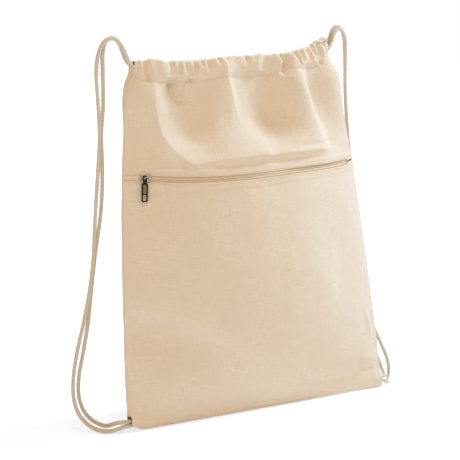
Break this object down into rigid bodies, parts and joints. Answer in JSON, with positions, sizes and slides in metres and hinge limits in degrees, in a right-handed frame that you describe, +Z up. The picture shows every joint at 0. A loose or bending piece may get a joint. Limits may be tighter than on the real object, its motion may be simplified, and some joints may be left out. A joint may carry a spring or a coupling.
{
  "type": "drawstring backpack",
  "caption": "Filled cotton drawstring backpack standing on its base, with a gathered cord casing, two looped cord straps and a zipped front pocket.",
  "frame": {"origin": "centre of the bag's box at the height of the floor it stands on, cords left out", "axes": "+Z up; -Y out of the zipped front; +X to the right seen from the front"},
  "size_m": [0.4472, 0.1107, 0.4424],
  "materials": {
    "calico": "unbleached plain-weave cotton, matt, with slubs and small creases",
    "thread": "matt spun sewing thread",
    "zip_tape": "matt woven tape",
    "zip_coil": "satin nylon coil",
    "cord": "matt braided cotton cord",
    "nickel": "nickel-plated zinc casting, slightly worn",
    "antique_brass": "dark antique brass plating"
  },
  "bodies": {
    "bag": {"front_lower_panel": "calico", "front_upper_panel": "calico", "back_panel": "calico", "pocket_lining": "calico", "front_casing": "calico", "back_casing": "calico", "side_seam_left": "calico", "side_seam_right": "calico", "bottom_seam": "calico", "casing_stitch_front": "thread", "casing_stitch_back": "thread", "zip_stitch_upper": "thread", "zip_stitch_lower": "thread", "zipper_tape_upper": "zip_tape", "zipper_tape_lower": "zip_tape", "zipper_coil_upper": "zip_coil", "zipper_coil_lower": "zip_coil", "zipper_end_tab": "calico", "zipper_stop_left": "nickel", "zipper_stop_right": "nickel", "cord_tack_left": "thread", "cord_tack_right": "thread", "drawcord_left": "cord", "drawcord_right": "cord"},
    "slider": {"zipper_slider": "nickel"},
    "link": {"pull_link": "antique_brass"},
    "tab": {"pull_tab": "antique_brass"}
  },
  "joints": [
    {"name": "slider_travel", "type": "hinge", "parent": "bag", "child": "slider", "pos_m": [0, 0.2991, 0.318], "axis": [0, -0.1298, 0.9915], "range_deg": [0, 49.5]},
    {"name": "link_swing", "type": "hinge", "parent": "slider", "child": "link", "pos_m": [-0.14352, -0.00519, 0.27904], "axis": [-0.3944, -0.8949, 0.2089], "range_deg": [-80, 35]},
    {"name": "tab_lift", "type": "hinge", "parent": "link", "child": "tab", "pos_m": [-0.14412, -0.00594, 0.2747], "axis": [-0.909, 0.4132, 0.0541], "range_deg": [0, 115]}
  ]
}
